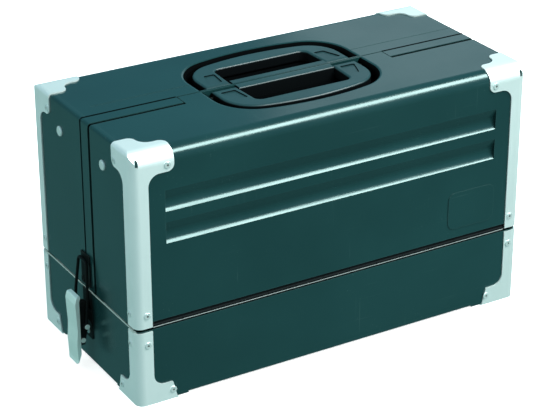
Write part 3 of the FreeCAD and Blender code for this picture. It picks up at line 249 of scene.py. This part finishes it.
# A paler line along the top rims of the base's end plates.
on_rim = within(tree, axis_of(tree, "Object", "Z"), RIM_LINE)
at_end = between(tree, value_of(tree, "ABSOLUTE", axis_of(tree, "Object", "X")), END_FACE)
lay_over(case_paint, value_of(tree, "MULTIPLY", on_rim, at_end), RIM_PALE)
finish_nodes(case_paint, "base_pan", "front_cover", "rear_cover", "rear_cover_closing_band")
for shell in SHELLS:
    finish_nodes(case_paint, f"{shell}_left_end", f"{shell}_right_end")


# The four lift-out trays and the dividers of two of them. Folded sheet steel in the
# same enamel, a shade lighter and flatter, scratched by the tools that lie in them.
TRAY_PAINT = (0.0085, 0.0370, 0.0390, 1)

tray_paint = enamel("tray_enamel", TRAY_PAINT, PAINT_EDGE, roughness=0.38, peel_depth=0.000012)
for side in ("front", "rear"):
    finish_nodes(tray_paint, f"{side}_upper_tray", f"{side}_mid_tray", f"{side}_mid_tray_dividers")


# The corner protectors. Pressings of bright-plated steel, each one bent round three
# walls and split at the bend with a small relief hole, satin from barrel polishing.
PLATE = (0.84, 0.93, 0.91, 1)
PLATE_DULL = (0.72, 0.83, 0.80, 1)
PLATE_EDGE_WEAR_SHEEN_COLOUR = (1, 1, 1, 1)
SATIN_METAL = 0.72
PLATE_PATCHES = 0.6
PLATE_EDGE_WEAR_SHEEN = 0.35
GRAIN_FINENESS = (1500, 1500, 60)
GRAIN_DEPTH = 0.000006
GRAIN_ROUGHNESS = 0.08
SCRATCH_ROUGHNESS = 0.12


def plated(name, bright, dull, roughness, grain=1.0):
    """Plated steel: bright, with a soft rolling grain, dulled patches, fine scratches and outer edges
    lightened as wear and as a painted highlight.
    """
    material, tree, shader, place, masks = new_material(name)
    shade = touched(tree, bright, masks["Patches"], PLATE_PATCHES, dull)
    # Outer edges lighten, partly as wear and partly as a painted highlight.
    shade = touched(tree, shade, masks["Mask"], PLATE_EDGE_WEAR_SHEEN, PLATE_EDGE_WEAR_SHEEN_COLOUR)
    rolled = add(tree, "ShaderNodeMapping", {"Vector": place, "Scale": GRAIN_FINENESS}).outputs[0]
    streak = noise(tree, rolled, 1.0)
    uneven = raised(tree, roughness - GRAIN_ROUGHNESS / 2, streak, GRAIN_ROUGHNESS)
    finish = {
        "Base Color": shade,
        "Metallic": SATIN_METAL,
        "Roughness": raised(tree, uneven, masks["Scratches"], SCRATCH_ROUGHNESS),
        "Normal": slope(tree, streak, GRAIN_DEPTH * grain),
    }
    connect(tree, shader, finish)
    return material


protector_plate = plated("satin_plate", PLATE, PLATE_DULL, roughness=0.46)
for shell in SHELLS:
    finish_nodes(protector_plate, f"{shell}_corner_protectors")


# The rivets. Tubular steel rivets, plated before they are set, with a hollow in the middle
# of each rolled head, and the plain domed pivots of the trays. The hollows take a painted
# shade, black where ambient occlusion finds them enclosed.
RIVET_PLATE = (0.70, 0.80, 0.78, 1)
HOLLOW_SHADE = (0, 0, 0, 1)
HOLLOW_REACH = 0.0012
HOLLOW_OPENNESS = (0.85, 0.45)

rivet_plate = plated("rivet_plate", RIVET_PLATE, PLATE_DULL, roughness=0.30, grain=0.5)
tree = rivet_plate.node_tree
reach = {"Distance": HOLLOW_REACH}
# Painted shade: the hollows turn black where the surface is closed in within a short reach.
openness = add(tree, "ShaderNodeAmbientOcclusion", reach, samples=6, only_local=True).outputs["AO"]
lay_over(rivet_plate, between(tree, openness, HOLLOW_OPENNESS), HOLLOW_SHADE)
for shell in SHELLS:
    finish_nodes(rivet_plate, f"{shell}_protector_rivets")
finish_nodes(rivet_plate, "latch_bracket_rivets", "front_cover_tray_rivets", "rear_cover_tray_rivets")


# The cantilever arms, their brackets and rivets. Bright zinc on cut strip steel,
# with grey rub marks in scattered patches, such as one arm leaves sliding past the other.
ZINC = (0.60, 0.63, 0.64, 1)
ZINC_DULL = (0.40, 0.42, 0.43, 1)

arm_zinc = plated("arm_zinc_plate", ZINC, ZINC_DULL, roughness=0.34)
finish_nodes(arm_zinc, "arm_brackets", "arm_foot_rivets")
for side in ("front", "rear"):
    finish_nodes(arm_zinc, f"{side}_long_arms", f"{side}_short_arms")
    finish_nodes(arm_zinc, f"{side}_upper_tray_arm_rivets", f"{side}_mid_tray_arm_rivets")


# The two piano hinges. Rolled steel leaves in dull black enamel, each turning on one
# long drawn pin. A bright line is painted along the knuckles' lower side as their highlight.
HINGE_BLACK = (0.003, 0.004, 0.0045, 1)
HINGE_HIGHLIGHT = (0.42, 0.50, 0.49, 1)
HIGHLIGHT_LINE = (0.0817, 0.0820, 0.0829, 0.0832)

hinge_black = enamel(
    "hinge_black_enamel",
    HINGE_BLACK,
    HINGE_BLACK,
    roughness=0.45,
    peel_depth=0.000006,
    gloss=0.03,
)
tree = hinge_black.node_tree
# A painted highlight: a bright band at the height of the knuckles' lower side.
lay_over(hinge_black, within(tree, axis_of(tree, "Object", "Z"), HIGHLIGHT_LINE), HINGE_HIGHLIGHT)
for side in ("front", "rear"):
    finish_nodes(hinge_black, f"{side}_hinge_base_leaf", f"{side}_hinge_cover_leaf")
    finish_nodes(rivet_plate, f"{side}_hinge_pin")


# The two over-centre latches. The lever is bright nickel on its outer side and dull
# black on its inner one. The channel behind it, the bracket, the keeper and the
# wire loop are blackened steel.
NICKEL = (0.80, 0.95, 0.90, 1)
NICKEL_DULL = (0.70, 0.86, 0.81, 1)
BLACKENED = (0.003, 0.004, 0.004, 1)
BLACKENED_WEAR_AND_SHEEN = (0.06, 0.08, 0.08, 1)
INNER_SIDE = (-0.8, -0.4)

nickel = plated("latch_nickel_plate", NICKEL, NICKEL_DULL, roughness=0.46)
tree = nickel.node_tree
side_of_box = value_of(tree, "SIGN", axis_of(tree, "Object", "X"))
outward = value_of(tree, "MULTIPLY", side_of_box, axis_of(tree, "Normal", "X"))
lay_over(nickel, between(tree, outward, INNER_SIDE, (1.0, 0.0)), BLACKENED)
blackened = enamel(
    "latch_blackened_steel",
    BLACKENED,
    BLACKENED_WEAR_AND_SHEEN,
    roughness=0.40,
    peel_depth=0.000005,
    gloss=0.06,
)
for side in ("left", "right"):
    finish_nodes(nickel, f"{side}_latch_lever", f"{side}_latch_lever_pins")
    finish_nodes(blackened, f"{side}_latch_lever_channel", f"{side}_latch_bracket", f"{side}_latch_loop")
finish_nodes(blackened, "latch_pivot_pins", "latch_keepers", "latch_keeper_rivets")


# The two carrying handles, their bars and pins. Handles and bars are injection
# moulded in black plastic with a fine spark-eroded texture. Their upper faces carry a
# painted lit tone in the case's dark teal, and their sides a painted shade of near black,
# as little light reaches the sides and the finger holes.
PLASTIC = (0.0085, 0.0290, 0.0320, 1)
HANDLE_SIDE_SHADE = (0.0022, 0.0030, 0.0034, 1)
PLASTIC_LIGHTER = 1.9
PLASTIC_PATCHES = 0.25
PLASTIC_EDGE_WEAR_SHEEN = 0.30
PLASTIC_POLISH = -0.06
PLASTIC_GRAIN = 1900.0
PLASTIC_GRAIN_DEPTH = 0.000015
LIT_TOP_SPAN = (0.25, 0.75)


def moulded(name, colour, roughness, gloss, shaded_side_colour=None):
    """Moulded plastic: a fine leather-like texture, worn smoother in patches; its sides may take a painted
    shade.
    """
    material, tree, shader, place, masks = new_material(name)
    lighter = lightened(colour, PLASTIC_LIGHTER)
    shade = touched(tree, colour, masks["Patches"], PLASTIC_PATCHES, lighter)
    if shaded_side_colour:
        # Painted shade: faces that do not look up take the darker side colour and lose their gloss.
        lit_top_share = between(tree, axis_of(tree, "Normal", "Z"), LIT_TOP_SPAN)
        shade = mixed(tree, lit_top_share, shaded_side_colour, shade)
        gloss = value_of(tree, "MULTIPLY", lit_top_share, gloss)
    # Outer edges lighten, partly as wear and partly as a painted highlight.
    shade = touched(tree, shade, masks["Mask"], PLASTIC_EDGE_WEAR_SHEEN, lighter)
    texture = add(tree, "ShaderNodeTexVoronoi", {"Vector": place, "Scale": PLASTIC_GRAIN})
    finish = {
        "Base Color": shade,
        "Roughness": raised(tree, roughness, masks["Patches"], PLASTIC_POLISH),
        "Specular IOR Level": gloss,
        "Normal": slope(tree, texture.outputs["Distance"], PLASTIC_GRAIN_DEPTH),
    }
    connect(tree, shader, finish)
    return material


handle_plastic = moulded(
    "handle_plastic_moulded",
    PLASTIC,
    roughness=0.42,
    gloss=0.35,
    shaded_side_colour=HANDLE_SIDE_SHADE,
)
for side in ("front", "rear"):
    finish_nodes(handle_plastic, f"{side}_handle", f"{side}_handle_bar")
    finish_nodes(blackened, f"{side}_handle_pins")


# The recess liners, a painted shade. Under each handle a thin black sheet covers the
# recess's floor, its curved wall and its rounded brim, a hair's breadth off the steel, and
# makes the recess read dark as if in shadow. The wall starts level with the handle's end,
# and the floor just past the bar.
RECESS_SHADE_BLACK = (0.0012, 0.0016, 0.0018, 1)
LINER_THICK = 0.0004
LINER_CLEAR = 0.0001
RECESS_FLOOR = 0.2460
RECESS_GAP = 0.0065
BRIM_START = 0.2550
BRIM = 0.005
LIP_TURN = math.radians(58)
LIP_STEPS = 6
WALL_START = -0.0023
FLOOR_START = -0.0114
HANDLE_HALF = 0.082
HANDLE_REACH = 0.065
HANDLE_CORNER = 0.035
HANDLE_BOW = 0.250
ARC_POINTS = 28
ALONG_Y = 1
ALONG_Z = 2


def well_outline(grow, start_y):
    """The recess's D shape as points x and y, grown by a distance and open towards the middle.

    Each stretch is an arc, x = c + r cos(t) and y = d + r sin(t): a corner, the bow, a corner.
    """
    half = HANDLE_HALF + grow
    corner = HANDLE_CORNER + grow
    bow = HANDLE_BOW + grow
    step = half - corner
    bow_y = bow - HANDLE_REACH - grow
    corner_y = bow_y - math.sqrt((bow - corner) ** 2 - step ** 2)
    lean = math.atan2(bow_y - corner_y, step)
    arcs = [
        (-step, corner_y, corner, math.pi, math.pi + lean),
        (0, bow_y, bow, math.pi + lean, 2 * math.pi - lean),
        (step, corner_y, corner, 2 * math.pi - lean, 2 * math.pi),
    ]
    runs = [[(-half, start_y)]]
    for x, y, radius, first, last in arcs:
        angle = np.linspace(first, last, ARC_POINTS)[1:]
        runs.append(np.column_stack([x + radius * np.cos(angle), y + radius * np.sin(angle)]))
    return np.vstack(runs + [[(half, start_y)]])


def new_piece(name, places, faces, material, body):
    """Makes a closed piece at its place, turns its faces outwards and lets it ride on a body."""
    mesh = bpy.data.meshes.new(name)
    mesh.from_pydata(places.tolist(), [], faces)
    shell = bmesh.new()
    shell.from_mesh(mesh)
    bmesh.ops.recalc_face_normals(shell, faces=shell.faces)
    shell.to_mesh(mesh)
    shell.free()
    mesh.materials.append(material)
    piece = bpy.data.objects.new(name, mesh)
    bpy.context.scene.collection.objects.link(piece)
    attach(piece, body)
    return mesh


def swept(name, blocks, material, body):
    """Blocks of one piece, each an outline (u, v) swept along an axis from a start to an end.

    A point is p = (u, v, t) along z and p = (u, t, v) along y.
    """
    rings = []
    faces = []
    first = 0
    for outline, axis, start, end in blocks:
        count = len(outline)
        rings += [np.insert(outline, axis, t, axis=1) for t in (start, end)]
        ring = np.arange(count) + first
        after = np.roll(ring, -1)
        faces += np.stack([ring, after, after + count, ring + count], 1).tolist()
        faces += [ring[::-1].tolist(), (ring + count).tolist()]
        first += 2 * count
    new_piece(name, np.vstack(rings), faces, material, body)


def lipped(name, facing, material, body):
    """The liner's lip on the rounded brim: an inner and an outer skin, closed at its edges.

    The well's outline is grown by g + b - (b + s) cos(a) and raised to h + (b + s) sin(a), for an
    angle a up the brim, with g the gap, b the brim's radius, s the skin's height and h the brim's start.
    """
    rows = []
    for skin in (LINER_CLEAR, LINER_THICK):
        for turn in np.linspace(0, LIP_TURN, LIP_STEPS):
            grow = RECESS_GAP + BRIM - (BRIM + skin) * math.cos(turn)
            height = BRIM_START + (BRIM + skin) * math.sin(turn)
            outline = well_outline(grow, WALL_START) * (1, facing)
            rows.append(np.insert(outline, 2, height, axis=1))
    places = np.array(rows[:LIP_STEPS] + rows[LIP_STEPS:][::-1])
    count, across = places.shape[:2]
    spots = np.arange(count * across).reshape(count, across)
    beside = np.roll(spots, -1, axis=0)
    quads = np.stack([spots[:, :-1], spots[:, 1:], beside[:, 1:], beside[:, :-1]], 2)
    faces = quads.reshape(-1, 4).tolist() + [spots[:, 0].tolist(), spots[::-1, -1].tolist()]
    mesh = new_piece(name, places.reshape(-1, 3), faces, material, body)
    mesh.polygons.foreach_set("use_smooth", [True] * (len(faces) - 2) + [False, False])


# Painted shade: a black sheet in the recess, where the shade falls.
recess_shade = moulded("recess_shade_sheet", RECESS_SHADE_BLACK, roughness=0.60, gloss=0.0)
outer_gap = RECESS_GAP - LINER_CLEAR
inner_gap = outer_gap - LINER_THICK
low = RECESS_FLOOR + LINER_CLEAR
for side, facing in (("front", 1), ("rear", -1)):
    outer = well_outline(outer_gap, WALL_START)
    inner = well_outline(inner_gap, WALL_START)
    wall = np.vstack([outer, inner[::-1]]) * (1, facing)
    ground = well_outline(inner_gap, FLOOR_START) * (1, facing)
    blocks = [(wall, ALONG_Z, low, BRIM_START), (ground, ALONG_Z, low, low + LINER_THICK)]
    swept(f"{side}_recess_shade_liner", blocks, recess_shade, f"{side}_cover")
    lipped(f"{side}_recess_shade_lip", facing, recess_shade, f"{side}_cover")


# The closing band's black strips, a painted shade for its joints: a flat strip in the open
# joint beside the band, a fine bead over the joint behind it, and at each end of the
# handles' recess a short filler in the joint between the covers, all black as shadowed gaps.
JOINT_SHADE_BLACK = (0.0014, 0.0018, 0.0020, 1)
END_X = 0.220
LID_Z = 0.260
COVER_FOOT = 0.0832
NOTCH_X = 0.1184
STRIP_BEND = 0.0022
JOINT_INSET = 0.00105
JOINT_THICK = 0.0006
JOINT_SPAN = (-0.0198, -0.0125)
BEAD_RISE = 0.0002
BEAD_SPAN = (-0.0010, 0.0010)
FILLER_X = 0.0946
FILLER_LOW = 0.2584
FILLER_HIGH = 0.2595
FILLER_SPAN = (-0.0004, 0.0006)


def shade_strip_path(inset, thick, end):
    """An L round the cover's end and top at a depth under the paint, as points x and z; end is +1 or -1."""
    x = END_X - inset
    z = LID_Z - inset
    outer = [(x, COVER_FOOT), (x, z - STRIP_BEND), (x - STRIP_BEND, z), (NOTCH_X, z)]
    inner_turn = [(x - STRIP_BEND, z - thick), (x - thick, z - STRIP_BEND)]
    inner = [(NOTCH_X, z - thick)] + inner_turn + [(x - thick, COVER_FOOT)]
    return np.array(outer + inner) * (end, 1)


# Painted shade: black strips that make the joints read as deep gaps.
joint_shade = moulded("joint_shade_strip", JOINT_SHADE_BLACK, roughness=0.60, gloss=0.0)
filler = [(FILLER_X, FILLER_LOW), (NOTCH_X, FILLER_LOW), (NOTCH_X, FILLER_HIGH), (FILLER_X, FILLER_HIGH)]
joint_shade_strips = []
for end in (-1, 1):
    joint_shade_strips.append((shade_strip_path(JOINT_INSET, JOINT_THICK, end), ALONG_Y, *JOINT_SPAN))
    joint_shade_strips.append((shade_strip_path(-BEAD_RISE, BEAD_RISE, end), ALONG_Y, *BEAD_SPAN))
    joint_shade_strips.append((np.array(filler) * (end, 1), ALONG_Y, *FILLER_SPAN))
swept("closing_band_joint_shades", joint_shade_strips, joint_shade, "rear_cover")


# The studio: a seamless white floor and white air for the camera. Mirrored rays see a
# dim blue-green room, as the enamel in the picture hardly mirrors its white background.
# Of the five softboxes only the overhead one and the small one behind show in reflections.
FLOOR_HALF = 6.0
FLOOR_PAPER = (0.75, 0.75, 0.75, 1)
FLOOR_GLOW = 0.62
FLOOR_MIRRORED = 0.30
FLOOR_MIRRORED_COLOUR = (0.36, 1.0, 1.0, 1)
FLOOR_BOUNCE = (0.10, 0.11, 0.11, 1)
WHITE = (1, 1, 1, 1)
WORLD_FILL = 0.44
WORLD_FILL_COLOUR = (0.80, 0.97, 1.0, 1)
WORLD_MIRRORED = 0.30
WORLD_MIRRORED_COLOUR = (0.34, 1.0, 1.30, 1)
BOX_MIDDLE = Vector((0, 0, 0.13))

# Each softbox: its place, its width and height, its watts, its colour, and whether it is mirrored
SOFTBOXES = {
    "overhead_softbox": ((1.0, -1.1, 1.9), (1.8, 0.75), 104, (0.96, 1.0, 0.98), True),
    "end_softbox": ((-2.2, 0.3, 0.6), (2.4, 1.8), 52, (0.92, 1.0, 0.98), False),
    "front_softbox": ((0.45, -2.35, 0.95), (2.6, 2.2), 66, (0.97, 1.0, 0.99), False),
    "behind_softbox": ((0.85, 0.95, 0.75), (0.5, 0.4), 0.45, (0.90, 0.98, 1.0), True),
    "behind_left_softbox": ((-1.2, 2.2, 1.5), (0.8, 0.5), 20, (0.85, 1.0, 1.0), False),
}


def by_ray(tree, for_camera, for_mirrors, for_others):
    """The shader for what the camera sees, for what is mirrored or seen through, and for all other light."""
    ray = add(tree, "ShaderNodeLightPath").outputs
    mirror = value_of(tree, "MAXIMUM", ray["Is Glossy Ray"], ray["Is Transmission Ray"])
    unseen = add(tree, "ShaderNodeMixShader", {0: mirror, 1: for_others, 2: for_mirrors}).outputs[0]
    sorts = {0: ray["Is Camera Ray"], 1: unseen, 2: for_camera}
    return add(tree, "ShaderNodeMixShader", sorts).outputs[0]


def glow(tree, kind, colour, strength):
    """An Emission or a Background shader."""
    return add(tree, kind, {"Color": colour, "Strength": strength}).outputs[0]


floor_mesh = bpy.data.meshes.new("studio_floor")
corners = np.array([(-1, -1, 0), (1, -1, 0), (1, 1, 0), (-1, 1, 0)]) * FLOOR_HALF
floor_mesh.from_pydata(corners.tolist(), [], [(0, 1, 2, 3)])
floor = bpy.data.objects.new("studio_floor", floor_mesh)
bpy.context.scene.collection.objects.link(floor)

white = bpy.data.materials.new("studio_white")
white.use_nodes = True
tree = white.node_tree
tree.nodes.clear()
paper = add(tree, "ShaderNodeBsdfDiffuse", {"Color": FLOOR_PAPER}).outputs[0]
light = glow(tree, "ShaderNodeEmission", WHITE, FLOOR_GLOW)
lit = add(tree, "ShaderNodeAddShader", {0: paper, 1: light}).outputs[0]
dim_room = glow(tree, "ShaderNodeEmission", FLOOR_MIRRORED_COLOUR, FLOOR_MIRRORED)
bounce = add(tree, "ShaderNodeBsdfDiffuse", {"Color": FLOOR_BOUNCE}).outputs[0]
add(tree, "ShaderNodeOutputMaterial", {"Surface": by_ray(tree, lit, dim_room, bounce)})
floor_mesh.materials.append(white)

world = bpy.data.worlds.new("studio_world")
bpy.context.scene.world = world
world.use_nodes = True
tree = world.node_tree
tree.nodes.clear()
air = glow(tree, "ShaderNodeBackground", WHITE, 1.0)
dim_room = glow(tree, "ShaderNodeBackground", WORLD_MIRRORED_COLOUR, WORLD_MIRRORED)
fill = glow(tree, "ShaderNodeBackground", WORLD_FILL_COLOUR, WORLD_FILL)
add(tree, "ShaderNodeOutputWorld", {"Surface": by_ray(tree, air, dim_room, fill)})

for name, (place, size, watts, colour, mirrored) in SOFTBOXES.items():
    panel = bpy.data.lights.new(name, "AREA")
    panel.shape = "RECTANGLE"
    panel.size, panel.size_y = size
    panel.energy = watts
    panel.color = colour
    lamp = bpy.data.objects.new(name, panel)
    lamp.location = place
    lamp.visible_glossy = mirrored
    lamp.rotation_mode = "QUATERNION"
    lamp.rotation_quaternion = (BOX_MIDDLE - Vector(place)).to_track_quat("-Z", "Y")
    bpy.context.scene.collection.objects.link(lamp)


# The camera stands where the picture was taken from: in front of the left end and
# looking down a little, with a long lens that keeps the upright edges nearly parallel.
AZIMUTH = math.radians(-30.90)
ELEVATION = math.radians(25.65)
DISTANCE = 2.000
LENS = 126.3
TARGET = Vector((-0.0015, 0.0008, 0.1108))

level = math.cos(ELEVATION)
away = Vector((math.sin(AZIMUTH) * level, -math.cos(AZIMUTH) * level, math.sin(ELEVATION)))
camera_data = bpy.data.cameras.new("camera")
camera_data.lens = LENS
camera = bpy.data.objects.new("camera", camera_data)
camera.location = TARGET + away * DISTANCE
camera.rotation_mode = "QUATERNION"
camera.rotation_quaternion = (-away).to_track_quat("-Z", "Y")
bpy.context.scene.collection.objects.link(camera)
bpy.context.scene.camera = camera
bpy.context.scene.view_settings.view_transform = "Standard"
